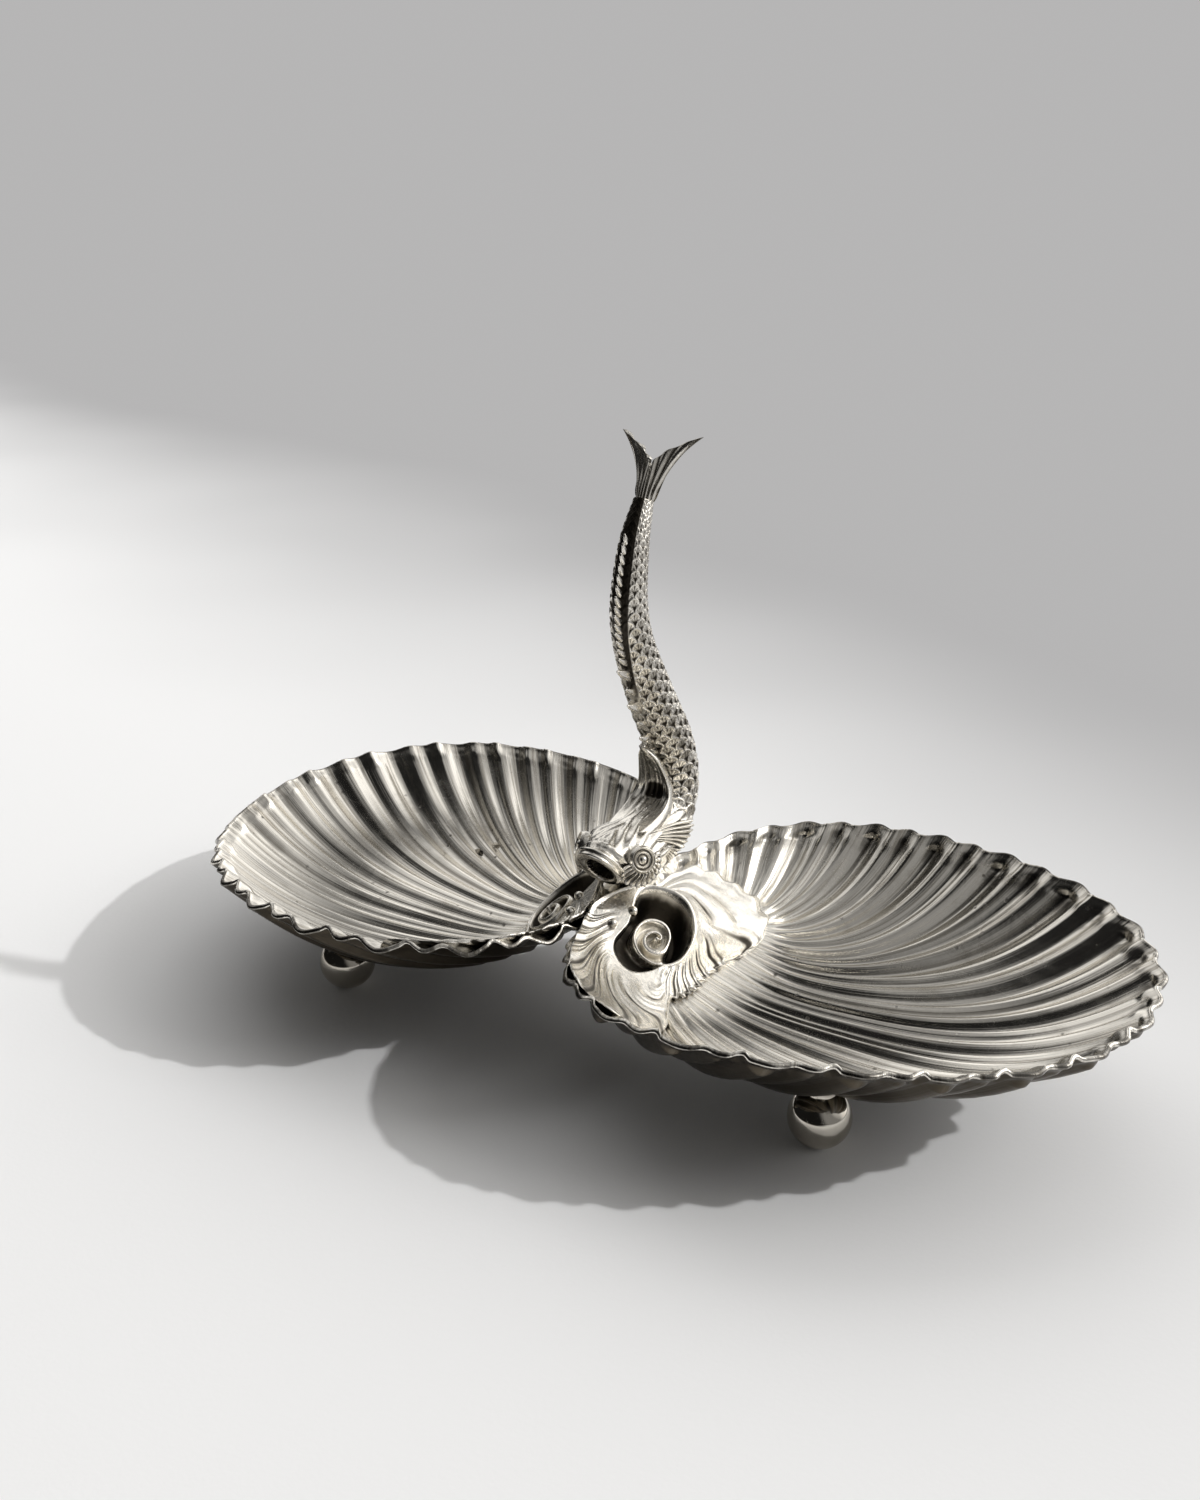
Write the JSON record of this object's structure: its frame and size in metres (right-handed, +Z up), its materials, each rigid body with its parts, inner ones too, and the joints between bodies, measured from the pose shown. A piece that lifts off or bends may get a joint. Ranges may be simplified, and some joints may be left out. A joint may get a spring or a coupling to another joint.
{
  "type": "double shell dish",
  "caption": "Pair of fluted shell-shaped serving bowls on ball feet, with a cast fish standing between them as the handle.",
  "frame": {"origin": "on the floor, under the middle of the pair", "axes": "+X from the left bowl to the right one, +Y to the back, away from the fish's mouth, +Z up"},
  "size_m": [0.2854, 0.1411, 0.1617],
  "materials": {
    "bright_silver": "polished silver plate",
    "cast_silver": "cast silver plate with tarnish in its hollows",
    "plain_steel": "plain"
  },
  "bodies": {
    "root": {"right_shell": "bright_silver", "left_shell": "bright_silver", "right_volute": "cast_silver", "left_volute": "cast_silver", "right_front_ball": "bright_silver", "left_front_ball": "bright_silver", "right_back_ball": "bright_silver", "left_back_ball": "bright_silver", "right_front_collar": "bright_silver", "left_front_collar": "bright_silver", "right_back_collar": "bright_silver", "left_back_collar": "bright_silver", "fish_body": "cast_silver", "fish_tail": "cast_silver", "fish_crest": "cast_silver", "fish_dorsal_comb": "cast_silver", "right_fish_gill": "cast_silver", "left_fish_gill": "cast_silver", "fish_seat": "cast_silver", "bridge_block": "cast_silver", "handle_stud": "plain_steel", "stud_washer": "plain_steel", "stud_nut": "plain_steel"}
  },
  "joints": []
}
